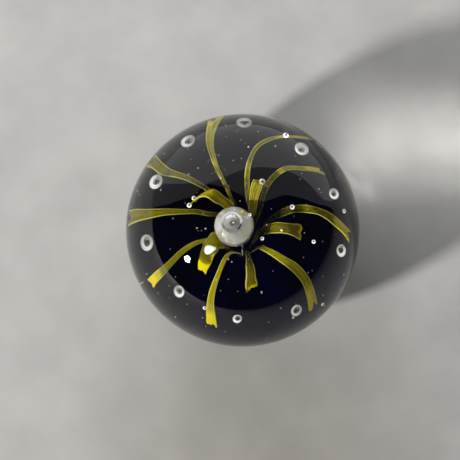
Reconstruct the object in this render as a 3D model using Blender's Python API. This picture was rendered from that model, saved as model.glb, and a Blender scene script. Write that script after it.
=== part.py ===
"""A solid glass paperweight: a slightly squat ball of clear glass that stands on a ground flat.

The ball is one fused solid, gathered on a rod and turned in a wet block, so its form is a turned
outline: an elliptical crown over the widest level, an elliptical belly below it that runs in to
the base, and a small bevel where the belly meets the flat. Metres, +Z up, with the origin at the
centre of the flat base.
"""

import math

import bmesh
import bpy

# Driving sizes of the glass
DIAMETER = 0.080
HEIGHT = 0.068
WIDEST_LEVEL = 0.030
BASE_DIAMETER = 0.048
BASE_BEVEL = 0.0008

# Fineness of the faceted solid
SIDES_ROUND = 72
CROWN_STEPS = 20
BELLY_STEPS = 14
POLE_MERGE = 1e-6
SHARP_CORNER = math.radians(25)

GLASS_TINT = (0.86, 0.90, 0.91, 1.0)
GLASS_ROUGHNESS = 0.02
GLASS_IOR = 1.5


def clear_the_scene():
    """Removes whatever the file opened with."""
    for thing in list(bpy.data.objects):
        bpy.data.objects.remove(thing)


def clear_glass():
    """Clear, fire-polished glass."""
    material = bpy.data.materials.new("clear_glass")
    material.use_nodes = True
    shader = material.node_tree.nodes["Principled BSDF"]
    shader.inputs["Base Color"].default_value = GLASS_TINT
    shader.inputs["Roughness"].default_value = GLASS_ROUGHNESS
    shader.inputs["IOR"].default_value = GLASS_IOR
    shader.inputs["Transmission Weight"].default_value = 1.0
    return material


def crown_outline():
    """Radius and height from the top of the crown down to the widest level, both ends included."""
    rise = HEIGHT - WIDEST_LEVEL
    quarter = [0.5 * math.pi * step / CROWN_STEPS for step in range(CROWN_STEPS + 1)]
    return [(DIAMETER / 2 * math.sin(a), WIDEST_LEVEL + rise * math.cos(a)) for a in quarter]


def belly_outline():
    """Radius and height from below the widest level down to the bevel's upper edge."""
    base_share = BASE_DIAMETER / DIAMETER
    half_height = WIDEST_LEVEL / math.sqrt(1 - base_share**2)
    lowest_angle = math.asin((WIDEST_LEVEL - BASE_BEVEL) / half_height)
    angles = [lowest_angle * step / BELLY_STEPS for step in range(1, BELLY_STEPS + 1)]
    return [
        (DIAMETER / 2 * math.cos(a), WIDEST_LEVEL - half_height * math.sin(a)) for a in angles
    ]


def turned_outline():
    """The whole outline, down the outer side from the top of the crown to the middle of the flat."""
    flat_edge = (BASE_DIAMETER / 2 - BASE_BEVEL, 0.0)
    middle_of_flat = (0.0, 0.0)
    return crown_outline() + belly_outline() + [flat_edge, middle_of_flat]


def glass_sphere():
    """Turns the outline about the upright axis into one closed solid."""
    shape = bmesh.new()
    outline = [shape.verts.new((radius, 0.0, height)) for radius, height in turned_outline()]
    edges = [shape.edges.new(pair) for pair in zip(outline, outline[1:])]
    bmesh.ops.spin(
        shape,
        geom=outline + edges,
        cent=(0, 0, 0),
        axis=(0, 0, 1),
        angle=2 * math.pi,
        steps=SIDES_ROUND,
        use_merge=True,
    )
    bmesh.ops.remove_doubles(shape, verts=shape.verts, dist=POLE_MERGE)
    bmesh.ops.recalc_face_normals(shape, faces=shape.faces)
    mesh = bpy.data.meshes.new("glass_sphere")
    shape.to_mesh(mesh)
    shape.free()
    mesh.materials.append(clear_glass())
    mesh.shade_smooth()
    mesh.set_sharp_from_angle(angle=SHARP_CORNER)
    ball = bpy.data.objects.new("glass_sphere", mesh)
    bpy.context.scene.collection.objects.link(ball)
    return ball


clear_the_scene()
glass_sphere()
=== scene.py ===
"""Makes the glass paperweight as it looks: a clear ball with a fountain of yellow ribbons in it.

A dark cobalt ground lies in the bottom of the clear ball. Fourteen flat yellow ribbons rise from
one root in it, arch over and droop, nine long ones outside and five short ones inside. A silvery
drop of trapped air stands over the root with its tail drawn down between the ribbons, ten round
bubbles stand in a ring about them, and small strays and seeds are scattered through the glass.

Metres, +Z up, on the centre of the flat base. Bearings are degrees from +X towards +Y. The
heights of what is sealed in are measured from the ball's widest level.
"""

import math
import random
from collections import namedtuple

import bmesh
import bpy
from bpy.props import FloatProperty, FloatVectorProperty, IntProperty, PointerProperty
from bpy.types import Operator, Panel, PropertyGroup
from mathutils import Matrix, Quaternion, Vector, noise
from mathutils.geometry import interpolate_bezier


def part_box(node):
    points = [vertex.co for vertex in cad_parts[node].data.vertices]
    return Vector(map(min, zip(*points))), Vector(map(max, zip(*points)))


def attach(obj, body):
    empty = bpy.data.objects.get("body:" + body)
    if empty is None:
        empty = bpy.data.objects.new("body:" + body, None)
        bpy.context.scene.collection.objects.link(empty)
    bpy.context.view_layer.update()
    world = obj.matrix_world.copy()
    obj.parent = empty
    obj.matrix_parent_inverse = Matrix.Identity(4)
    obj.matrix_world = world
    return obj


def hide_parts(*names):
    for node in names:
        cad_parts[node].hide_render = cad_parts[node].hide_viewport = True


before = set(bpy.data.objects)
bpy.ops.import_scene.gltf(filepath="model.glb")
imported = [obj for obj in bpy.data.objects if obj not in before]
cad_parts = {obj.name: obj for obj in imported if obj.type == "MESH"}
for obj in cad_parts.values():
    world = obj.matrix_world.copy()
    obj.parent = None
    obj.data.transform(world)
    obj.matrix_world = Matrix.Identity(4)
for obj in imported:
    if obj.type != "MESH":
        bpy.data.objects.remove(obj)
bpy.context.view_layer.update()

bl_info = {
    "name": "Fountain Paperweight",
    "version": (1, 0, 0),
    "blender": (4, 5, 0),
    "location": "3D View > Sidebar > Paperweight",
    "description": "Builds a glass ball with yellow ribbons and air bubbles sealed in it",
    "category": "Object",
}

MM = 0.001
BALL_NODE = "glass_sphere"
BODY = "root"
BALL_LOW, BALL_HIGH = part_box(BALL_NODE)

# One ribbon: four bearings at the quarters of its length from the first to the end, then the
# reach and height in mm of its crest and of its tip, four widths in mm from the throat to the
# end, how its end is torn, how far it is twisted at the end, the share of its length from which
# its colour shows, how dense its glass is, and how solid its colour ends.
Ribbon = namedtuple("Ribbon", "name bearings crest tip widths tear twist shows density solid")

# How a ribbon's end is torn: the notch's depth in mm, its place across, and the slant in mm.
Tear = namedtuple("Tear", "depth place slant")

EAST = Ribbon(
    name="east",
    bearings=(23, 16, 6, -1),
    crest=(17, 11),
    tip=(25.5, -4),
    widths=(1.4, 1.9, 2.2, 2.4),
    tear=Tear(2.2, 0.45, 0.6),
    twist=10,
    shows=0.6,
    density=0.36,
    solid=1.35,
)
NORTH_EAST = Ribbon(
    name="north_east",
    bearings=(51, 56, 45, 41),
    crest=(16, 13),
    tip=(22.5, -7.5),
    widths=(1.1, 1.4, 1.5, 1.8),
    tear=Tear(2.0, 0.5, 0.4),
    twist=0,
    shows=0.48,
    density=0.85,
    solid=1.3,
)
NORTH_NORTH_EAST = Ribbon(
    name="north_north_east",
    bearings=(61, 82, 81, 57),
    crest=(10, 6),
    tip=(26, -6.5),
    widths=(0.9, 1.3, 1.1, 0.5),
    tear=Tear(0.8, 0.5, 0.6),
    twist=20,
    shows=0.52,
    density=0.85,
    solid=1.15,
)
NORTH = Ribbon(
    name="north",
    bearings=(100, 113, 113, 103),
    crest=(10.5, 7.5),
    tip=(27.5, -3.5),
    widths=(0.6, 0.9, 1.5, 3.2),
    tear=Tear(1.6, 0.4, 1.2),
    twist=0,
    shows=0.58,
    density=1.4,
    solid=1.02,
)
NORTH_WEST = Ribbon(
    name="north_west",
    bearings=(121, 137, 145, 140),
    crest=(16.5, 12.5),
    tip=(27, -5.5),
    widths=(0.8, 1.1, 2.2, 3.2),
    tear=Tear(2.6, 0.5, 0.4),
    twist=0,
    shows=0.45,
    density=0.34,
    solid=0.86,
)
WEST = Ribbon(
    name="west",
    bearings=(139, 167, 173, 172),
    crest=(13, 11),
    tip=(28.5, -3.5),
    widths=(0.8, 1.2, 2.0, 4.1),
    tear=Tear(2.2, 0.5, 0.2),
    twist=0,
    shows=0.45,
    density=0.46,
    solid=0.86,
)
SOUTH_WEST = Ribbon(
    name="south_west",
    bearings=(-162, -155, -150, -151),
    crest=(17, 11.5),
    tip=(26, -4.5),
    widths=(0.9, 1.1, 1.8, 2.8),
    tear=Tear(0.9, 0.55, 0.5),
    twist=0,
    shows=0.43,
    density=1.8,
    solid=1.04,
)
SOUTH = Ribbon(
    name="south",
    bearings=(-100, -111, -113, -108),
    crest=(13, 12.5),
    tip=(25.5, -3),
    widths=(0.9, 1.0, 1.6, 3.0),
    tear=Tear(0.6, 0.4, -0.5),
    twist=0,
    shows=0.28,
    density=1.2,
    solid=1.03,
)
SOUTH_EAST = Ribbon(
    name="south_east",
    bearings=(-38, -50, -42, -47),
    crest=(13, 10.5),
    tip=(26.5, -3),
    widths=(1.2, 1.6, 2.4, 2.8),
    tear=Tear(2.4, 0.4, 0.4),
    twist=0,
    shows=0.38,
    density=0.9,
    solid=1.12,
)
LONG_RIBBONS = (
    EAST,
    NORTH_EAST,
    NORTH_NORTH_EAST,
    NORTH,
    NORTH_WEST,
    WEST,
    SOUTH_WEST,
    SOUTH,
    SOUTH_EAST,
)

INNER_NORTH_WEST = Ribbon(
    name="inner_north_west",
    bearings=(107, 124, 142, 154),
    crest=(10.5, 13),
    tip=(13.5, 3),
    widths=(1.8, 2.3, 3.0, 2.3),
    tear=Tear(0.8, 0.5, 0.3),
    twist=25,
    shows=0.42,
    density=0.95,
    solid=1.05,
)
INNER_NORTH_EAST = Ribbon(
    name="inner_north_east",
    bearings=(61, 64, 67, 66),
    crest=(10, 12),
    tip=(11.5, 5),
    widths=(1.4, 2.0, 2.9, 3.7),
    tear=Tear(0.8, 0.4, 0.8),
    twist=0,
    shows=0.5,
    density=0.8,
    solid=1.1,
)
INNER_EAST = Ribbon(
    name="inner_east",
    bearings=(18, 2, -8, -6),
    crest=(10.5, 7.5),
    tip=(14.6, 2.5),
    widths=(1.9, 2.4, 2.7, 3.5),
    tear=Tear(1.3, 0.6, 0.3),
    twist=0,
    shows=0.6,
    density=0.36,
    solid=0.96,
)
INNER_SOUTH = Ribbon(
    name="inner_south",
    bearings=(-78, -79, -78, -79),
    crest=(7, 1),
    tip=(10.5, -13),
    widths=(0.4, 0.8, 2.4, 2.8),
    tear=Tear(1.2, 0.55, 1.4),
    twist=0,
    shows=0.66,
    density=0.42,
    solid=0.99,
)
INNER_SOUTH_WEST = Ribbon(
    name="inner_south_west",
    bearings=(-162, -154, -139, -136),
    crest=(11, 7.5),
    tip=(13.5, -3.5),
    widths=(3.4, 4.3, 3.8, 2.6),
    tear=Tear(1.1, 0.45, 0.6),
    twist=0,
    shows=0.38,
    density=1.25,
    solid=1.19,
)
SHORT_RIBBONS = (
    INNER_NORTH_WEST,
    INNER_NORTH_EAST,
    INNER_EAST,
    INNER_SOUTH,
    INNER_SOUTH_WEST,
)

# The wall of the middle drop from its point to its widest level, as the tilt in degrees at shares
# of its radius. A shallow groove parts the cap from the shoulder, and its middle is the drop's edge.
DROP_TILTS = (
    (0.0, 0),
    (0.08, 24),
    (0.30, 34),
    (0.42, 30),
    (0.46, -12),
    (0.51, -12),
    (0.56, 46),
    (0.62, 54),
    (0.85, 60),
    (0.95, 71),
    (1.0, 86),
)
DROP_EDGE = 0.485

# The ring of round bubbles: bearing in degrees, reach and diameter in mm.
RING = (
    (18, 25.5, 3.1),
    (52, 25.0, 4.0),
    (89, 27.2, 4.2),
    (123, 26.3, 4.1),
    (154, 25.5, 4.0),
    (192, 26.7, 4.5),
    (228, 26.0, 3.3),
    (267, 27.5, 2.6),
    (301, 29.8, 3.4),
    (344, 28.5, 3.4),
)

# Strays that can be told apart: bearing in degrees, reach, height and diameter in mm.
STRAYS = (
    (14, 13.3, 11.0, 1.3),
    (338, 5.0, -2.0, 0.9),
    (152, 13.7, 6.0, 1.2),
    (158, 14.0, 3.0, 1.2),
    (66, 11.8, 4.5, 1.5),
    (344, 19.3, 8.0, 1.1),
    (8, 27.1, 5.0, 1.2),
    (245, 22.7, 0.0, 1.0),
    (347, 10.2, 8.0, 0.6),
    (66, 24.9, -1.0, 1.4),
    (252, 24.2, -4.0, 0.6),
    (118, 11.9, 13.0, 0.5),
    (315, 33.0, 4.0, 1.1),
    # The last two are painted glints: small bubbles painted white at the drop's point and on its upper right edge.
    (211, 2.8, 13.15, 0.45),
    (37, 2.3, 9.6, 0.9),
)

# The lit wall behind the ball and the dimmer one over it: corners across and up in metres.
BRIGHT_WALL = (
    (-0.30, 0.004),
    (0.46, 0.004),
    (0.46, 0.104),
    (0.36, 0.138),
    (0.20, 0.150),
    (0.11, 0.175),
    (0.058, 0.197),
    (0.0, 0.223),
    (-0.05, 0.250),
    (-0.10, 0.270),
    (-0.18, 0.280),
    (-0.25, 0.170),
)
DIM_WALL = (
    (-0.62, 0.004),
    (0.62, 0.004),
    (0.56, 0.21),
    (0.44, 0.30),
    (0.28, 0.38),
    (0.23, 0.70),
    (0.05, 0.60),
    (-0.09, 0.39),
    (-0.16, 0.285),
    (-0.22, 0.31),
    (-0.35, 0.37),
    (-0.56, 0.24),
)

# Two lights fall on one group of things alone.
NEAR_LIT = "lit_by_the_near_fill"
GLOW_LIT = "lit_by_the_floor_glow"


class BallSizes(PropertyGroup):
    """The clear ball."""

    diameter: FloatProperty(
        name="Diameter", description="Across the widest level", default=BALL_HIGH.x - BALL_LOW.x, unit="LENGTH"
    )
    height: FloatProperty(
        name="Height", description="From the flat base to the crown", default=BALL_HIGH.z - BALL_LOW.z, unit="LENGTH"
    )
    widest_level: FloatProperty(
        name="Widest level", description="Height of the widest level over the base", default=0.030, unit="LENGTH"
    )
    base_diameter: FloatProperty(
        name="Base diameter", description="Across the belly where the base cuts it", default=0.048, unit="LENGTH"
    )
    base_bevel: FloatProperty(
        name="Base bevel", description="Width of the small bevel round the flat", default=0.0008, unit="LENGTH"
    )
    waviness: FloatProperty(
        name="Waviness", description="Depth of the hand-worked surface's slow waves", default=0.00004, unit="LENGTH"
    )


class GroundLook(PropertyGroup):
    """The dark cobalt ground."""

    wall_height: FloatProperty(
        name="Wall height", description="Height of its rim over the base", default=0.0065, unit="LENGTH"
    )
    middle_height: FloatProperty(
        name="Middle height", description="Height of its dished middle over the base", default=0.0055, unit="LENGTH"
    )
    casing: FloatProperty(
        name="Casing", description="Clear glass between the ground and the surface", default=0.0006, unit="LENGTH"
    )
    cobalt: FloatVectorProperty(
        name="Cobalt", description="Lighter clouds of the ground", default=(0.0014, 0.0018, 0.048), subtype="COLOR"
    )
    midnight: FloatVectorProperty(
        name="Midnight", description="Main colour of the ground", default=(0.0006, 0.0007, 0.012), subtype="COLOR"
    )


class RibbonLook(PropertyGroup):
    """The yellow ribbons."""

    bead: FloatProperty(
        name="Edge bead", description="Radius of the rounded edges", default=0.00015, unit="LENGTH"
    )
    web: FloatProperty(
        name="Web", description="Half the thickness between the edges", default=0.00007, unit="LENGTH"
    )
    curl: FloatProperty(
        name="Curl", description="How far the edges curl down, as a share of the width", default=0.10
    )
    edge_line: FloatProperty(
        name="Edge line", description="Width of the pale line along each edge", default=0.00022, unit="LENGTH"
    )
    canary: FloatVectorProperty(
        name="Canary", description="Opaque yellow of the ends", default=(0.86, 0.71, 0.001), subtype="COLOR"
    )
    olive: FloatVectorProperty(
        name="Olive", description="Thin glass between the edges", default=(0.56, 0.50, 0.004), subtype="COLOR"
    )
    straw: FloatVectorProperty(
        name="Straw", description="Pale line along each edge", default=(0.80, 0.76, 0.16), subtype="COLOR"
    )


class BubbleSizes(PropertyGroup):
    """The trapped air."""

    drop_width: FloatProperty(
        name="Drop width", description="Across the middle drop", default=0.0100, unit="LENGTH"
    )
    drop_level: FloatProperty(
        name="Drop level", description="Its widest level over the ball's", default=0.0070, unit="LENGTH"
    )
    tail_level: FloatProperty(
        name="Tail level", description="Where the thin tail starts", default=-0.0060, unit="LENGTH"
    )
    tail_end: FloatProperty(
        name="Tail end", description="Where the tail ends", default=-0.0240, unit="LENGTH"
    )
    tail_radius: FloatProperty(
        name="Tail radius", description="Radius of the thin tail", default=0.0003, unit="LENGTH"
    )
    drop_lean: FloatVectorProperty(
        name="Drop lean",
        description="How far the drop's widest level stands off the axis",
        default=(-0.0021, -0.0010),
        size=2,
        unit="LENGTH",
    )
    ring_level: FloatProperty(
        name="Ring level", description="The ring of bubbles over the widest level", default=0.0075, unit="LENGTH"
    )
    ring_upright: FloatProperty(
        name="Ring uprightness", description="Height of a ring bubble as a share of its width", default=1.5
    )
    seeds: IntProperty(name="Seeds", description="How many pin-prick bubbles", default=170, min=0)


class StageLook(PropertyGroup):
    """The floor, the lights and the camera."""

    floor_pale: FloatVectorProperty(
        name="Floor", description="Pale colour of the floor", default=(0.56, 0.555, 0.54), subtype="COLOR"
    )
    # The floor's colour in its painted shadow, and the middle of that painted shadow.
    floor_painted_shade: FloatVectorProperty(
        name="Near floor", description="Its colour in the near shade", default=(0.37, 0.345, 0.31), subtype="COLOR"
    )
    painted_shade_middle: FloatVectorProperty(
        name="Shade middle", description="Middle of the near shade", default=(0.008, -0.082, 0.0), unit="LENGTH"
    )
    elevation: FloatProperty(
        name="Camera elevation", description="Above the horizon", default=math.radians(76), subtype="ANGLE"
    )
    distance: FloatProperty(
        name="Camera distance", description="From the ball's centre", default=0.32, unit="LENGTH"
    )
    lens: FloatProperty(name="Lens", description="Focal length in mm", default=72.7)
    turn: FloatProperty(
        name="Camera turn", description="Turned left past the ball", default=math.radians(0.77), subtype="ANGLE"
    )


def scene_settings():
    """The sizes and colours that the operators read."""
    return bpy.context.scene.paperweight


def smoothstep(low, high, value):
    """Nought below low, one above high, and a soft step between them."""
    share = min(1.0, max(0.0, (value - low) / (high - low)))
    return share * share * (3 - 2 * share)


def add_piece(name, mesh, material):
    """Puts a mesh in the scene as a piece of the paperweight that rides on its one body."""
    mesh.materials.append(material)
    mesh.shade_smooth()
    piece = bpy.data.objects.new(name, mesh)
    piece.cycles.is_caustics_receiver = True
    bpy.context.scene.collection.objects.link(piece)
    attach(piece, BODY)
    return piece


def lit_group(name):
    """The collection of all that one light falls on, which is made when it is first asked for."""
    return bpy.data.collections.get(name) or bpy.data.collections.new(name)


def turned_mesh(name, outline, sides, place=None, inward=False):
    """Turns an outline of (radius, height) points, pole to pole, and may move each point."""
    shape = bmesh.new()
    rings = []
    for radius, height in outline:
        if radius < 1e-7:
            ring = [shape.verts.new((0.0, 0.0, height))]
        else:
            turns = (2 * math.pi * step / sides for step in range(sides))
            ring = [shape.verts.new((radius * math.cos(a), radius * math.sin(a), height)) for a in turns]
        rings.append(ring)
    for upper, lower in zip(rings, rings[1:]):
        for k in range(sides):
            corners = [upper[k % len(upper)], lower[k % len(lower)]]
            corners += [lower[(k + 1) % len(lower)], upper[(k + 1) % len(upper)]]
            shape.faces.new(list(dict.fromkeys(corners)))
    if place:
        for vertex in shape.verts:
            vertex.co = place(vertex.co)
    bmesh.ops.recalc_face_normals(shape, faces=shape.faces)
    if inward:
        bmesh.ops.reverse_faces(shape, faces=shape.faces)
    mesh = bpy.data.meshes.new(name)
    shape.to_mesh(mesh)
    shape.free()
    return mesh


# Materials


def new_material(name):
    """A material with its node tree and its Principled shader."""
    material = bpy.data.materials.new(name)
    material.use_nodes = True
    tree = material.node_tree
    return material, tree, tree.nodes["Principled BSDF"]


def ramp(tree, source, stops):
    """A colour ramp with the given (place, colour) stops."""
    node = tree.nodes.new("ShaderNodeValToRGB")
    elements = node.color_ramp.elements
    while len(elements) < len(stops):
        elements.new(0.5)
    for element, (place, colour) in zip(elements, stops):
        element.position = place
        element.color = (*colour, 1.0)
    tree.links.new(source, node.inputs["Fac"])
    return node.outputs["Color"]


def grey(value):
    """A grey for a ramp that carries a plain number."""
    return (value, value, value)


def maths(tree, operation, first, second=None, third=None, clamp=False):
    """A Math node on sockets or numbers."""
    node = tree.nodes.new("ShaderNodeMath")
    node.operation = operation
    node.use_clamp = clamp
    for socket, value in zip(node.inputs, (first, second, third)):
        if isinstance(value, bpy.types.NodeSocket):
            tree.links.new(value, socket)
        elif value is not None:
            socket.default_value = value
    return node.outputs["Value"]


def mix_colours(tree, share, first, second):
    """Blends two colours, which are sockets or plain colours."""
    node = tree.nodes.new("ShaderNodeMix")
    node.data_type = "RGBA"
    tree.links.new(share, node.inputs[0])
    for socket, value in zip((node.inputs[6], node.inputs[7]), (first, second)):
        if isinstance(value, bpy.types.NodeSocket):
            tree.links.new(value, socket)
        else:
            socket.default_value = (*value, 1.0)
    return node.outputs[2]


def clear_glass():
    """Clear fire-polished glass."""
    material, _, shader = new_material("clear_glass")
    shader.inputs["Base Color"].default_value = (0.985, 0.992, 0.992, 1.0)
    shader.inputs["Roughness"].default_value = 0.0
    shader.inputs["IOR"].default_value = 1.5
    shader.inputs["Transmission Weight"].default_value = 1.0
    return material


def air_wall(name, silver, clearness):
    """The wall of a bubble: see-through face on, and painted white where it turns away, as a painted reflection."""
    material, tree, shader = new_material(name)
    shader.inputs["Base Color"].default_value = (*silver, 1.0)
    shader.inputs["Roughness"].default_value = 0.0
    shader.inputs["IOR"].default_value = 1.5
    turned = tree.nodes.new("ShaderNodeLayerWeight")
    turned.inputs["Blend"].default_value = 0.5
    stops = [(place, grey(share)) for place, share in clearness]
    clear = ramp(tree, turned.outputs["Facing"], stops)
    tree.links.new(clear, shader.inputs["Transmission Weight"])
    return material, tree, shader, clear


def painted_reflection_air(name, clearness, painted_reflection_white=(0.98, 0.98, 0.97)):
    """A bubble's wall whose painted white reflection shows on the glass side alone, and clear from within."""
    material, tree, shader, clear = air_wall(name, painted_reflection_white, clearness)
    side = tree.nodes.new("ShaderNodeNewGeometry")
    painted_reflection_share = maths(tree, "MULTIPLY", maths(tree, "SUBTRACT", 1.0, clear), side.outputs["Backfacing"])
    tree.links.new(maths(tree, "SUBTRACT", 1.0, painted_reflection_share), shader.inputs["Transmission Weight"])
    return material


def ring_air():
    """The ring's tall bubbles: a dark clear middle, a broad rim of painted white reflection and a thin dark outline.
    """
    return painted_reflection_air("ring_air", [(0.26, 1.0), (0.30, 0.02), (0.80, 0.02), (0.92, 0.7)])


def seed_air():
    """The small round bubbles: bright dots of painted white reflection with a pin-prick of a middle."""
    return painted_reflection_air("seed_air", [(0.06, 1.0), (0.12, 0.1)])


def blister_air():
    """A painted highlight on a ribbon: a flat air shape in cool white all over."""
    return painted_reflection_air("blister_air", [(0.0, 0.08), (1.0, 0.08)], (0.90, 0.99, 0.97))


def distance_from(tree, place, point):
    """How far a place is from a point."""
    node = tree.nodes.new("ShaderNodeVectorMath")
    node.operation = "DISTANCE"
    tree.links.new(place, node.inputs[0])
    node.inputs[1].default_value = point
    return node.outputs["Value"]


def spot(tree, place, middle, radius, softness):
    """One near the middle, nought farther out than the radius, and a soft step between."""
    away = distance_from(tree, place, middle)
    return maths(tree, "MULTIPLY_ADD", away, -1 / softness, 1 + radius / softness, clamp=True)


def pearly_air(centre, reach):
    """The middle drop: painted silver reflection, a painted white reflection along its cap's far edge and two
    painted dark places.
    """
    silver, painted_reflection_white, painted_dark_colour = (0.76, 0.76, 0.72), (0.98, 0.98, 0.97), (0.02, 0.02, 0.018)
    material, tree, shader, clear = air_wall("pearly_air", silver, [(0.0, 0.9), (0.04, 0.62), (0.3, 0.6)])
    coordinates = tree.nodes.new("ShaderNodeTexCoord")
    place = coordinates.outputs["Object"]
    parts = tree.nodes.new("ShaderNodeSeparateXYZ")
    tree.links.new(place, parts.inputs["Vector"])
    level = tree.nodes.new("ShaderNodeCombineXYZ")
    tree.links.new(parts.outputs["X"], level.inputs["X"])
    tree.links.new(parts.outputs["Y"], level.inputs["Y"])
    across = maths(tree, "MULTIPLY", distance_from(tree, level.outputs["Vector"], (*centre.xy, 0)), 0.5 / reach)
    # A painted white reflection in a band round the cap's edge, on its far side.
    edge = ramp(tree, across, [(0.44, grey(0.0)), (0.47, grey(1.0)), (0.54, grey(1.0)), (0.57, grey(0.0))])
    beyond = maths(tree, "MULTIPLY_ADD", parts.outputs["Y"], 0.5 / reach, 0.5 - 0.5 * centre.y / reach)
    far = ramp(tree, beyond, [(0.34, grey(0.0)), (0.58, grey(1.0))])
    painted_reflection_share = maths(tree, "MULTIPLY", edge, far)

    # Two painted dark places, a crescent at the edge and a spot in the middle, where dark shows through the drop.
    crescent = spot(tree, place, centre + Vector((0.0022, -0.0014, 0)), 0.0008, 0.0004)
    crescent = maths(tree, "MULTIPLY", crescent, edge)
    painted_dark_middle = spot(tree, place, centre + Vector((0.0001, -0.0006, 0.0009)), 0.0005, 0.0006)
    dark = maths(tree, "MAXIMUM", crescent, maths(tree, "MULTIPLY", painted_dark_middle, 0.8))
    lit = maths(tree, "SUBTRACT", 1.0, dark)
    unpainted_share = maths(tree, "MULTIPLY_ADD", painted_reflection_share, -0.92, 1.0)
    left_clear = maths(tree, "MULTIPLY", clear, maths(tree, "MULTIPLY", unpainted_share, lit))
    tree.links.new(left_clear, shader.inputs["Transmission Weight"])
    pale = mix_colours(tree, painted_reflection_share, silver, painted_reflection_white)
    tree.links.new(mix_colours(tree, dark, pale, painted_dark_colour), shader.inputs["Base Color"])
    return material


def cobalt_glass(look):
    """Nearly black cobalt with slow clouds of a lighter blue."""
    material, tree, shader = new_material("cobalt_glass")
    place = tree.nodes.new("ShaderNodeTexCoord")
    clouds = tree.nodes.new("ShaderNodeTexNoise")
    clouds.inputs["Scale"].default_value = 55.0
    clouds.inputs["Detail"].default_value = 4.0
    clouds.inputs["Distortion"].default_value = 0.8
    tree.links.new(place.outputs["Object"], clouds.inputs["Vector"])
    colour = ramp(tree, clouds.outputs["Fac"], [(0.35, look.midnight), (0.7, look.cobalt)])
    tree.links.new(colour, shader.inputs["Base Color"])
    shader.inputs["Roughness"].default_value = 0.5
    shader.inputs["Specular IOR Level"].default_value = 0.0
    return material


def ribbon_glass(look, ribbon):
    """Yellow glass drawn out thin: pale edges, a streaky olive web and opaque torn ends.

    The ribbon's own map gives the share across it in U and the share along it in V.
    """
    material, tree, shader = new_material("yellow_glass_" + ribbon.name)
    own_map = tree.nodes.new("ShaderNodeUVMap")
    own_map.uv_map = "along_the_ribbon"
    parts = tree.nodes.new("ShaderNodeSeparateXYZ")
    tree.links.new(own_map.outputs["UV"], parts.inputs["Vector"])
    across, along = parts.outputs["X"], parts.outputs["Y"]

    off_middle = maths(tree, "ABSOLUTE", maths(tree, "MULTIPLY_ADD", across, 2.0, -1.0))
    edge_starts = 1 - 2 * look.edge_line / (MM * sum(ribbon.widths) / len(ribbon.widths))
    edge = ramp(tree, off_middle, [(edge_starts, grey(0.0)), (edge_starts + 0.08, grey(1.0))])
    solid = ramp(tree, along, [(0.0, grey(0.0)), (0.86, grey(0.0)), (0.955, grey(1.0))])

    stretched = tree.nodes.new("ShaderNodeCombineXYZ")
    tree.links.new(maths(tree, "MULTIPLY", across, 11.0), stretched.inputs["X"])
    tree.links.new(maths(tree, "MULTIPLY", along, 2.2), stretched.inputs["Y"])
    where = tree.nodes.new("ShaderNodeObjectInfo")
    tree.links.new(maths(tree, "MULTIPLY", where.outputs["Random"], 50.0), stretched.inputs["Z"])
    streaks = tree.nodes.new("ShaderNodeTexNoise")
    streaks.inputs["Scale"].default_value = 1.0
    streaks.inputs["Detail"].default_value = 3.0
    tree.links.new(stretched.outputs["Vector"], streaks.inputs["Vector"])
    streak = ramp(tree, streaks.outputs["Fac"], [(0.30, grey(0.0)), (0.72, grey(1.0))])

    web_colour = mix_colours(tree, streak, look.olive, look.canary)
    web_or_end = mix_colours(tree, solid, web_colour, look.canary)
    edge_only = maths(tree, "MULTIPLY", edge, maths(tree, "SUBTRACT", 1.0, solid))
    colour = mix_colours(tree, edge_only, web_or_end, look.straw)
    tree.links.new(colour, shader.inputs["Base Color"])

    web_alpha = maths(tree, "MULTIPLY_ADD", streak, 0.30 * ribbon.density, 0.32 * ribbon.density)
    edge_alpha = maths(tree, "MULTIPLY", edge, 0.5 + 0.4 * ribbon.density)
    with_edges = maths(tree, "MAXIMUM", web_alpha, edge_alpha)
    rising = ramp(tree, along, [(0.0, grey(0.06)), (0.19, grey(0.1)), (0.30, grey(0.7)), (0.6, grey(1.0))])
    faded = maths(tree, "MULTIPLY", with_edges, rising)
    alpha = maths(tree, "MAXIMUM", faded, solid, clamp=True)
    tree.links.new(alpha, shader.inputs["Alpha"])
    shader.inputs["Roughness"].default_value = 0.5
    shader.inputs["Specular IOR Level"].default_value = 0.1
    return material


def pale_floor(look):
    """Plain pale floor, faintly mottled, with a painted shadow, warm and darker, on the near side."""
    material, tree, shader = new_material("pale_floor")
    place = tree.nodes.new("ShaderNodeTexCoord")
    mottle = tree.nodes.new("ShaderNodeTexNoise")
    mottle.inputs["Scale"].default_value = 42.0
    mottle.inputs["Detail"].default_value = 6.0
    tree.links.new(place.outputs["Object"], mottle.inputs["Vector"])
    # Painted shadow: warmer and darker round a point on the near side.
    from_painted_shade = distance_from(tree, place.outputs["Object"], look.painted_shade_middle)
    shade = ramp(tree, from_painted_shade, [(0.0, grey(0.7)), (0.03, grey(0.55)), (0.085, grey(0.0))])
    base = mix_colours(tree, shade, look.floor_pale, look.floor_painted_shade)
    mottled = ramp(tree, mottle.outputs["Fac"], [(0.3, grey(0.16)), (0.7, grey(0.0))])
    colour = mix_colours(tree, mottled, base, (0.0, 0.0, 0.0))
    tree.links.new(colour, shader.inputs["Base Color"])
    shader.inputs["Roughness"].default_value = 0.8
    shader.inputs["Specular IOR Level"].default_value = 0.2
    return material


# The ball and its ground


def belly_half_height(sizes):
    """How far below the widest level the belly's oval would end, had the base not cut it."""
    share = sizes.base_diameter / sizes.diameter
    return sizes.widest_level / math.sqrt(1 - share**2)


def belly_point(sizes, angle, inset=0.0):
    """Radius and height on the belly, at an angle below the widest level, or set in from it."""
    radius = sizes.diameter / 2 - inset
    depth = (belly_half_height(sizes) - inset) * math.sin(angle)
    return radius * math.cos(angle), sizes.widest_level - depth


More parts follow.
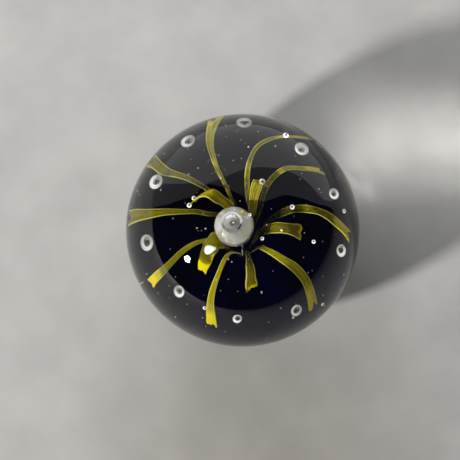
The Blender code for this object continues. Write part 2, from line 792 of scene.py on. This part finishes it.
def ball_outline(sizes):
    """Outline of the ball from its crown to the middle of its flat base."""
    crown_steps, belly_steps, flat_rings = 90, 64, 8
    rise = sizes.height - sizes.widest_level
    quarter = [0.5 * math.pi * step / crown_steps for step in range(crown_steps + 1)]
    outline = [(sizes.diameter / 2 * math.sin(a), sizes.widest_level + rise * math.cos(a)) for a in quarter]
    lowest = math.asin((sizes.widest_level - sizes.base_bevel) / belly_half_height(sizes))
    outline += [belly_point(sizes, lowest * step / belly_steps) for step in range(1, belly_steps + 1)]
    flat = sizes.base_diameter / 2 - sizes.base_bevel
    return outline + [(flat * (1 - step / flat_rings), 0.0) for step in range(flat_rings + 1)]


def make_ball():
    """The clear ball, with slow shallow waves in its surface that never rise past the true outline."""
    settings = scene_settings()
    sizes = settings.ball
    wave_length = 0.024

    def waved(point):
        if point.z < sizes.base_bevel:
            return point
        sink = sizes.waviness * (0.5 + 0.5 * noise.noise(point / wave_length))
        inward = Vector((point.x, point.y, point.z - sizes.widest_level)).normalized()
        return point - inward * sink * smoothstep(0.0, 0.006, point.z)

    mesh = turned_mesh("glass_ball", ball_outline(sizes), 288, waved)
    ball = add_piece("glass_ball", mesh, clear_glass())
    mesh.set_sharp_from_angle(angle=math.radians(25))
    ball.cycles.is_caustics_receiver = False
    ball.cycles.is_caustics_caster = True
    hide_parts(BALL_NODE)


def make_ground():
    """The cobalt ground: a dished cushion that fills the bottom of the ball inside a thin casing."""
    settings = scene_settings()
    sizes, look = settings.ball, settings.ground
    half_height = belly_half_height(sizes) - look.casing
    top = math.asin((sizes.widest_level - look.wall_height) / half_height)
    bottom = math.asin((sizes.widest_level - look.casing) / half_height)
    rim_radius = belly_point(sizes, top, look.casing)[0]
    dish = [step / 24 for step in range(24)]
    rise = look.wall_height - look.middle_height
    outline = [(rim_radius * share, look.middle_height + rise * share**2) for share in dish]
    outline += [belly_point(sizes, top + (bottom - top) * step / 20, look.casing) for step in range(21)]
    flat_radius = outline[-1][0]
    outline += [(flat_radius * (1 - step / 6), look.casing) for step in range(1, 7)]

    def rippled(point):
        if point.z < look.casing + 0.0001:
            return point
        swell = 0.0003 * noise.noise(point / 0.009) * smoothstep(1.0, 0.9, point.xy.length / rim_radius)
        return point + Vector((0, 0, swell))

    mesh = turned_mesh("cobalt_ground", outline, 128, rippled)
    add_piece("cobalt_ground", mesh, cobalt_glass(look))


# The ribbons

ROOT_REACH = 1.5
ROOT_LEVEL = -19.0
COLOUR_STARTS = 0.25


def ribbon_side_view(ribbon):
    """The ribbon's run in the upright plane, as (reach, height) in mm from its foot to its tip."""
    steps = 48
    root = Vector((ROOT_REACH, ROOT_LEVEL))
    crest, tip = Vector(ribbon.crest), Vector(ribbon.tip)
    climb, fall = crest - root, tip - crest
    rising = interpolate_bezier(
        root,
        root + Vector((0.30 * climb.x, 0.50 * climb.y)),
        Vector((root.x + 0.60 * climb.x, crest.y)),
        crest,
        steps,
    )
    falling = interpolate_bezier(
        crest,
        Vector((crest.x + 0.55 * fall.x, crest.y)),
        Vector((tip.x - 0.10 * fall.x, crest.y + 0.5 * fall.y)),
        tip,
        steps,
    )
    return rising + falling[1:]


def evenly_along(points, count):
    """Points at even distances along a chain of points."""
    run = [0.0]
    for first, second in zip(points, points[1:]):
        run.append(run[-1] + (second - first).length)
    spread = []
    k = 0
    for step in range(count):
        target = run[-1] * step / (count - 1)
        while k < len(run) - 2 and run[k + 1] < target:
            k += 1
        part = (target - run[k]) / (run[k + 1] - run[k])
        spread.append(points[k].lerp(points[k + 1], part))
    return spread


def through_stations(stations, first, share):
    """A smooth value through even stations from the share first to the end, level before it."""
    spacing = (1 - first) / (len(stations) - 1)
    place = (max(first, min(1.0, share)) - first) / spacing
    k = min(int(place), len(stations) - 2)
    part = place - k
    before = stations[max(0, k - 1)]
    start, end = stations[k], stations[k + 1]
    after = stations[k + 2] if k + 2 < len(stations) else 2 * end - start
    curve = 2 * start + (end - before) * part
    curve += (2 * before - 5 * start + 4 * end - after) * part**2
    curve += (3 * start - before - 3 * end + after) * part**3
    return 0.5 * curve


class RibbonRun:
    """A ribbon's centre line, its side and its upper face at any share of its length."""

    def __init__(self, ribbon, centre):
        count = 97
        side_view = evenly_along(ribbon_side_view(ribbon), count)
        self.points = []
        outward = []
        for step, (reach, height) in enumerate(side_view):
            bearing = math.radians(through_stations(ribbon.bearings, 0.25, step / (count - 1)))
            away = Vector((math.cos(bearing), math.sin(bearing), 0))
            outward.append(away)
            self.points.append(centre + MM * (reach * away + Vector((0, 0, height))))
        self.length = sum((b - a).length for a, b in zip(self.points, self.points[1:]))
        self.sides, self.faces = [], []
        for k, away in enumerate(outward):
            ahead = self.points[min(k + 1, count - 1)] - self.points[max(k - 1, 0)]
            ahead.normalize()
            upper = Vector((0, 0, 1)) * ahead.dot(away) - away * ahead.z
            side = ahead.cross(upper).normalized()
            turn = ribbon.twist * smoothstep(0.45, 1.0, k / (count - 1))
            side = Matrix.Rotation(math.radians(turn), 3, ahead) @ side
            self.sides.append(side)
            self.faces.append(side.cross(ahead))

    def at(self, share):
        """Centre, side and upper face at a share of the length, which may run past the end."""
        place = share * (len(self.points) - 1)
        k = max(0, min(int(place), len(self.points) - 2))
        part = place - k
        start, end = self.points[k], self.points[k + 1]
        middle = start.lerp(end, part) if part <= 1 else end + (end - start) * (part - 1)
        side = self.sides[k].lerp(self.sides[k + 1], min(part, 1.0))
        face = self.faces[k].lerp(self.faces[k + 1], min(part, 1.0))
        return middle, side, face


def ribbon_mesh(ribbon, look, centre):
    """Sweeps the beaded section along the run, with its end torn and its own map laid on."""
    run = RibbonRun(ribbon, centre)
    strips, stations = 16, 84
    across = [0.5 - 0.5 * math.cos(math.pi * k / strips) for k in range(strips + 1)]
    chance = random.Random(ribbon.name)
    ragged = [chance.uniform(-0.5, 0.5) for _ in across]
    phase = chance.uniform(0, 100)
    shape = bmesh.new()
    uv_layer = shape.loops.layers.uv.new("along_the_ribbon")
    rows = []
    for step in range(stations + 1):
        share = step / stations
        row = []
        for face in (1, -1):
            for k, place in enumerate(across):
                if face < 0 and k in (0, strips):
                    continue
                notch = math.exp(-(((place - ribbon.tear.place) / 0.17) ** 2))
                torn = ribbon.tear.depth * (0.25 - notch) + ribbon.tear.slant * (2 * place - 1)
                torn += ragged[k] * (1 if 0 < k < strips else 0)
                shift = MM * torn / run.length * smoothstep(0.72, 1.0, share)
                middle, side, upper = run.at(share + shift)
                width = MM * ribbon_width(ribbon, share) * (1 + 0.16 * noise.noise((9 * share, phase, 0)))
                off = (place - 0.5) * width + 0.00025 * noise.noise((7 * share, phase, 5)) * share
                rim = width / 2 - abs(place - 0.5) * width
                lift = section_half_thickness(look, rim, width) * smoothstep(-0.06, 0.05, share)
                bend = -look.curl * width * (2 * place - 1) ** 2
                corner = shape.verts.new(middle + side * off + upper * (bend + face * lift))
                row.append((corner, place, colour_share(ribbon, share)))
        top = row[: strips + 1]
        low = row[strips + 1 :]
        rows.append(top + low[::-1])
    for first, second in zip(rows, rows[1:]):
        for k in range(len(first)):
            following = (k + 1) % len(first)
            add_mapped_face(shape, uv_layer, [first[k], first[following], second[following], second[k]])
    for row, turn in ((rows[0], -1), (rows[-1], 1)):
        close_section(shape, uv_layer, row, strips, turn)
    bmesh.ops.recalc_face_normals(shape, faces=shape.faces)
    mesh = bpy.data.meshes.new(ribbon.name)
    shape.to_mesh(mesh)
    shape.free()
    return mesh


def ribbon_width(ribbon, share):
    """Width in mm at a share of the length: narrow in the root, then through the four widths."""
    body = through_stations(ribbon.widths, 0.3, share)
    return max(0.3, body * (0.15 + 0.85 * smoothstep(0.0, 0.36, share)))


def colour_share(ribbon, share):
    """The share along the ribbon's map: a quarter where its colour starts to show, and on to its end."""
    if share < ribbon.shows:
        return COLOUR_STARTS * share / ribbon.shows
    return COLOUR_STARTS + (ribbon.solid - COLOUR_STARTS) * (share - ribbon.shows) / (1 - ribbon.shows)


def section_half_thickness(look, rim, width):
    """Half the thickness at a distance in from the edge: a round bead that runs into a thin web."""
    bead = min(look.bead, 0.3 * width)
    if rim < bead:
        return math.sqrt(max(0.0, bead**2 - (bead - rim) ** 2))
    return look.web + (bead - look.web) * (1 - smoothstep(bead, 2.6 * bead, rim))


def add_mapped_face(shape, uv_layer, corners):
    """A face whose corners carry their shares across and along the ribbon."""
    face = shape.faces.new([corner[0] for corner in corners])
    for loop, (_, place, share) in zip(face.loops, corners):
        loop[uv_layer].uv = (place, share)


def close_section(shape, uv_layer, row, strips, turn):
    """Closes one end of a ribbon with faces between its upper and lower points."""
    upper = row[: strips + 1]
    lower = [row[0]] + row[strips + 1 :][::-1] + [row[strips]]
    for k in range(strips):
        corners = [upper[k], upper[k + 1], lower[k + 1], lower[k]]
        corners = [c for n, c in enumerate(corners) if c not in corners[:n]]
        if turn < 0:
            corners.reverse()
        add_mapped_face(shape, uv_layer, corners)


def make_ribbons(ribbons):
    """Makes a group of ribbons, each its own piece."""
    settings = scene_settings()
    centre = Vector((0, 0, settings.ball.widest_level))
    for ribbon in ribbons:
        mesh = ribbon_mesh(ribbon, settings.ribbon, centre)
        add_piece("ribbon_" + ribbon.name, mesh, ribbon_glass(settings.ribbon, ribbon))


# The bubbles


def drop_crown(radius):
    """The drop's outline from its point down to its widest level, summed up from the wall's tilts."""
    steps = 72
    shares = [math.sin(0.5 * math.pi * step / steps) for step in range(steps + 1)]
    places, tilts = zip(*DROP_TILTS)
    outline = [(radius, 0.0)]
    for outer, inner in zip(shares[::-1], shares[-2::-1]):
        middle = 0.5 * (outer + inner)
        k = max(n for n, place in enumerate(places[:-1]) if place <= middle)
        part = (middle - places[k]) / (places[k + 1] - places[k])
        tilt = math.radians(tilts[k] + (tilts[k + 1] - tilts[k]) * part)
        outline.append((radius * inner, outline[-1][1] + radius * (outer - inner) * math.tan(tilt)))
    return outline[::-1]


def make_drop():
    """The drop of air over the root: a pointed crown, and a long tail that leans back to the middle."""
    settings = scene_settings()
    sizes = settings.bubbles
    centre = settings.ball.widest_level
    widest = sizes.drop_width / 2
    crown = [(radius, sizes.drop_level + height) for radius, height in drop_crown(widest)]
    fall = sizes.drop_level - sizes.tail_level
    body = []
    for step in range(1, 49):
        share = step / 48
        radius = sizes.tail_radius + (widest - sizes.tail_radius) * math.cos(0.5 * math.pi * share) ** 1.5
        body.append((radius, sizes.drop_level - fall * share))
    tail = [
        (sizes.tail_radius * (1 - 0.5 * share), sizes.tail_level + (sizes.tail_end - sizes.tail_level) * share)
        for share in (step / 16 for step in range(1, 16))
    ]
    outline = crown + body + tail + [(0.0, sizes.tail_end)]

    def leaned(point):
        sway = smoothstep(-0.014, sizes.drop_level, point.z)
        above = max(0.0, point.z - sizes.drop_level)
        wobble = 0.00008 * noise.noise(point / 0.003) * smoothstep(0.0, 0.003, point.xy.length)
        outward = Vector((point.x, point.y, 0))
        outward = outward.normalized() * wobble if outward.length > 0 else outward
        lean = Vector((sizes.drop_lean[0] * sway - 0.15 * above, sizes.drop_lean[1] * sway, centre))
        return point + outward + lean

    mesh = turned_mesh("middle_drop", outline, 96, leaned, inward=True)
    edge_reach = DROP_EDGE * widest
    edge_level = min(crown, key=lambda point: abs(point[0] - edge_reach))[1]
    add_piece("middle_drop", mesh, pearly_air(leaned(Vector((0, 0, edge_level))), edge_reach))


def round_bubble(shape, centre, diameter, fineness, chance, upright):
    """Adds one uneven round bubble, as much higher than wide as upright says."""
    unevenness = 0.04
    made = bmesh.ops.create_icosphere(shape, subdivisions=fineness, radius=diameter / 2)
    turned = Matrix.Rotation(chance.uniform(0, math.tau), 3, "Z")
    tipped = Matrix.Rotation(chance.uniform(0, 0.15), 3, "X")
    across, along, high = (1 + chance.uniform(-unevenness, unevenness) for _ in range(3))
    stretch = Matrix.Diagonal((across, along, high * upright))
    for vertex in made["verts"]:
        vertex.co = centre + turned @ tipped @ (stretch @ vertex.co)


def bubbles_mesh(name, bubbles, fineness, seed, upright=1.0):
    """One mesh of several round bubbles, given as (centre, diameter), with their faces to the air."""
    shape = bmesh.new()
    chance = random.Random(seed)
    for centre, diameter in bubbles:
        round_bubble(shape, centre, diameter, fineness, chance, upright)
    bmesh.ops.recalc_face_normals(shape, faces=shape.faces)
    bmesh.ops.reverse_faces(shape, faces=shape.faces)
    mesh = bpy.data.meshes.new(name)
    shape.to_mesh(mesh)
    shape.free()
    return mesh


def sealed_place(bearing, reach, height):
    """A place in the glass from a bearing in degrees and a reach and height in metres."""
    widest = scene_settings().ball.widest_level
    angle = math.radians(bearing)
    return Vector((reach * math.cos(angle), reach * math.sin(angle), widest + height))


def make_ring():
    """Ten round bubbles in a ring about the ribbons."""
    sizes = scene_settings().bubbles
    air = ring_air()
    for number, (bearing, reach, diameter) in enumerate(RING, 1):
        place = sealed_place(bearing, MM * reach, sizes.ring_level)
        mesh = bubbles_mesh(f"ring_bubble_{number}", [(place, MM * diameter)], 5, number, sizes.ring_upright)
        lit_group(NEAR_LIT).objects.link(add_piece(f"ring_bubble_{number}", mesh, air))


def make_strays():
    """The small bubbles that can be told apart."""
    bubbles = [
        (sealed_place(bearing, MM * reach, MM * height), MM * diameter)
        for bearing, reach, height, diameter in STRAYS
    ]
    mesh = bubbles_mesh("stray_bubbles", bubbles, 4, "strays")
    lit_group(NEAR_LIT).objects.link(add_piece("stray_bubbles", mesh, seed_air()))


def make_painted_highlight():
    """The painted highlight on the near left inner ribbon: a flat air shape in cool white that tapers to the right.
    """
    place = sealed_place(221.5, 0.0110, 0.0080)
    mesh = bubbles_mesh("ribbon_blister", [(place, 0.0030)], 4, "blister", upright=0.22)
    for vertex in mesh.vertices:
        off = vertex.co - place
        taper = 0.72 - 260 * off.x
        vertex.co = place + Vector((1.05 * off.x, taper * off.y + 0.2 * off.x, off.z))
    lit_group(NEAR_LIT).objects.link(add_piece("ribbon_blister", mesh, blister_air()))


def make_seeds():
    """Pin-prick seeds scattered through the glass, with none low down or close to the surface."""
    settings = scene_settings()
    ball = settings.ball
    chance = random.Random("seeds")
    bubbles = []
    while len(bubbles) < settings.bubbles.seeds:
        place = Vector([chance.uniform(-1, 1) for _ in range(3)])
        if place.length > 0.9 or place.z < -0.5:
            continue
        middle = Vector((0, 0, ball.widest_level))
        spread = Vector((ball.diameter / 2, ball.diameter / 2, ball.height - ball.widest_level))
        diameter = 0.00020 + 0.00030 * chance.random() ** 3
        bubbles.append((middle + place * spread, diameter))
    mesh = bubbles_mesh("seed_bubbles", bubbles, 2, "seeds")
    add_piece("seed_bubbles", mesh, seed_air())


# The stage


def area_light(name, place, target, size, watts, colour=(1.0, 1.0, 1.0), shape="RECTANGLE"):
    """A studio light that faces its target."""
    light = bpy.data.lights.new(name, "AREA")
    light.shape = shape
    light.size, light.size_y = size
    light.energy = watts
    light.color = colour
    lamp = bpy.data.objects.new(name, light)
    lamp.location = place
    lamp.rotation_mode = "QUATERNION"
    lamp.rotation_quaternion = (Vector(target) - Vector(place)).to_track_quat("-Z", "Y")
    bpy.context.scene.collection.objects.link(lamp)
    return lamp


def make_floor(look):
    """A large plain floor."""
    shape = bmesh.new()
    bmesh.ops.create_grid(shape, x_segments=8, y_segments=8, size=1.5)
    mesh = bpy.data.meshes.new("floor")
    shape.to_mesh(mesh)
    shape.free()
    mesh.materials.append(pale_floor(look))
    floor = bpy.data.objects.new("floor", mesh)
    bpy.context.scene.collection.objects.link(floor)
    floor.cycles.is_caustics_receiver = True
    lit_group(GLOW_LIT).objects.link(floor)


def make_lights():
    """A small key from the near left, two fills, a lit wall close behind and a dim room."""
    sunny, warm = (1.0, 0.98, 0.95), (1.0, 0.97, 0.94)
    key = area_light("key", (-0.94, -0.60, 0.563), (0, 0, 0.03), (0.12, 0.12), 18.0, sunny, "ELLIPSE")
    key.data.cycles.is_caustics_light = True
    fill = area_light("soft_fill", (-0.45, 0.6, 0.8), (0, 0, 0), (0.9, 0.9), 3.6)
    fill.visible_glossy = False
    near = area_light("near_fill", (0.25, -0.95, 0.6), (0, 0, 0.03), (0.4, 0.4), 24.0)
    near.data.cycles.is_caustics_light = True
    near.visible_glossy = False
    near.light_linking.receiver_collection = lit_group(NEAR_LIT)
    glow = area_light("floor_glow", (0.084, 0.043, 0.25), (0.084, 0.043, 0), (0.085, 0.028), 0.0065, warm)
    glow.data.spread = math.radians(10)
    glow.visible_camera = glow.visible_glossy = glow.visible_transmission = False
    glow.light_linking.receiver_collection = lit_group(GLOW_LIT)
    make_wall("bright_wall", BRIGHT_WALL, 0.166, 0.97)
    make_wall("dim_wall", DIM_WALL, 0.17, 0.34)
    world = bpy.data.worlds.new("dim_room")
    world.use_nodes = True
    background = world.node_tree.nodes["Background"]
    background.inputs["Color"].default_value = (0.92, 0.96, 1.0, 1.0)
    background.inputs["Strength"].default_value = 0.03
    bpy.context.scene.world = world


def make_wall(name, corners, distance, radiance):
    """An upright panel behind the ball that glows on its near side, and that the camera looks through."""
    mesh = bpy.data.meshes.new(name)
    mesh.from_pydata([(across, distance, up) for across, up in corners], [], [range(len(corners))])
    material, tree, shader = new_material(name)
    side = tree.nodes.new("ShaderNodeNewGeometry")
    glow = maths(tree, "MULTIPLY_ADD", side.outputs["Backfacing"], -radiance, radiance)
    tree.links.new(glow, shader.inputs["Emission Strength"])
    shader.inputs["Emission Color"].default_value = (1.0, 1.0, 1.0, 1.0)
    shader.inputs["Base Color"].default_value = (0.0, 0.0, 0.0, 1.0)
    shader.inputs["Specular IOR Level"].default_value = 0.0
    mesh.materials.append(material)
    wall = bpy.data.objects.new(name, mesh)
    wall.visible_camera = False
    wall.visible_shadow = False
    bpy.context.scene.collection.objects.link(wall)


def make_camera(look, centre):
    """The photograph's view: from steeply above on the -Y side, with the ball right of the middle."""
    camera = bpy.data.cameras.new("camera")
    camera.lens = look.lens
    camera.sensor_width = 36.0
    camera.clip_start = 0.01
    eye = bpy.data.objects.new("camera", camera)
    away = Vector((0, -math.cos(look.elevation), math.sin(look.elevation)))
    eye.location = centre + away * look.distance
    eye.rotation_mode = "QUATERNION"
    eye.rotation_quaternion = (-away).to_track_quat("-Z", "Y") @ Quaternion((0, 1, 0), look.turn)
    bpy.context.scene.collection.objects.link(eye)
    bpy.context.scene.camera = eye


# Operators, the panel and the making


class PaperweightSettings(PropertyGroup):
    """All that a user would change."""

    ball: PointerProperty(type=BallSizes)
    ground: PointerProperty(type=GroundLook)
    ribbon: PointerProperty(type=RibbonLook)
    bubbles: PointerProperty(type=BubbleSizes)
    stage: PointerProperty(type=StageLook)


class PAPERWEIGHT_OT_ball(Operator):
    """Makes the clear glass ball"""

    bl_idname = "paperweight.ball"
    bl_label = "Glass Ball"
    bl_options = {"REGISTER", "UNDO"}

    def execute(self, context):
        make_ball()
        return {"FINISHED"}


class PAPERWEIGHT_OT_ground(Operator):
    """Makes the dark cobalt ground in the bottom of the ball"""

    bl_idname = "paperweight.ground"
    bl_label = "Cobalt Ground"
    bl_options = {"REGISTER", "UNDO"}

    def execute(self, context):
        make_ground()
        return {"FINISHED"}


class PAPERWEIGHT_OT_long_ribbons(Operator):
    """Makes the nine long outer ribbons"""

    bl_idname = "paperweight.long_ribbons"
    bl_label = "Long Ribbons"
    bl_options = {"REGISTER", "UNDO"}

    def execute(self, context):
        make_ribbons(LONG_RIBBONS)
        return {"FINISHED"}


class PAPERWEIGHT_OT_short_ribbons(Operator):
    """Makes the five short inner ribbons"""

    bl_idname = "paperweight.short_ribbons"
    bl_label = "Short Ribbons"
    bl_options = {"REGISTER", "UNDO"}

    def execute(self, context):
        make_ribbons(SHORT_RIBBONS)
        return {"FINISHED"}


class PAPERWEIGHT_OT_drop(Operator):
    """Makes the silvery drop of air over the root"""

    bl_idname = "paperweight.drop"
    bl_label = "Middle Drop"
    bl_options = {"REGISTER", "UNDO"}

    def execute(self, context):
        make_drop()
        return {"FINISHED"}


class PAPERWEIGHT_OT_ring(Operator):
    """Makes the ring of ten round bubbles"""

    bl_idname = "paperweight.ring"
    bl_label = "Bubble Ring"
    bl_options = {"REGISTER", "UNDO"}

    def execute(self, context):
        make_ring()
        return {"FINISHED"}


class PAPERWEIGHT_OT_strays(Operator):
    """Makes the small stray bubbles, the pin-prick seeds and the painted highlight on a ribbon"""

    bl_idname = "paperweight.strays"
    bl_label = "Strays and Seeds"
    bl_options = {"REGISTER", "UNDO"}

    def execute(self, context):
        make_strays()
        make_seeds()
        make_painted_highlight()
        return {"FINISHED"}


class PAPERWEIGHT_OT_stage(Operator):
    """Sets up the floor, the lights and the camera"""

    bl_idname = "paperweight.stage"
    bl_label = "Stage"
    bl_options = {"REGISTER", "UNDO"}

    def execute(self, context):
        settings = scene_settings()
        make_floor(settings.stage)
        make_lights()
        make_camera(settings.stage, Vector((0, 0, settings.ball.widest_level)))
        context.scene.view_settings.view_transform = "Standard"
        return {"FINISHED"}


OPERATORS = (
    PAPERWEIGHT_OT_ball,
    PAPERWEIGHT_OT_ground,
    PAPERWEIGHT_OT_long_ribbons,
    PAPERWEIGHT_OT_short_ribbons,
    PAPERWEIGHT_OT_drop,
    PAPERWEIGHT_OT_ring,
    PAPERWEIGHT_OT_strays,
    PAPERWEIGHT_OT_stage,
)


class VIEW3D_PT_paperweight(Panel):
    """Lists the pieces of the paperweight in the order in which they are made"""

    bl_label = "Fountain Paperweight"
    bl_space_type = "VIEW_3D"
    bl_region_type = "UI"
    bl_category = "Paperweight"

    def draw(self, context):
        for operator in OPERATORS:
            self.layout.operator(operator.bl_idname)


CLASSES = (
    BallSizes,
    GroundLook,
    RibbonLook,
    BubbleSizes,
    StageLook,
    PaperweightSettings,
    *OPERATORS,
    VIEW3D_PT_paperweight,
)


def register():
    """Registers the classes and hangs the settings on the scene."""
    for each in CLASSES:
        bpy.utils.register_class(each)
    bpy.types.Scene.paperweight = PointerProperty(type=PaperweightSettings)


def unregister():
    """Takes the settings off the scene and the classes out again."""
    del bpy.types.Scene.paperweight
    for each in reversed(CLASSES):
        bpy.utils.unregister_class(each)


def main():
    """Registers the add-on and makes every piece in order."""
    register()
    bpy.ops.paperweight.stage()
    bpy.ops.paperweight.ball()
    bpy.ops.paperweight.ground()
    bpy.ops.paperweight.long_ribbons()
    bpy.ops.paperweight.short_ribbons()
    bpy.ops.paperweight.drop()
    bpy.ops.paperweight.ring()
    bpy.ops.paperweight.strays()


if __name__ == "__main__":
    main()
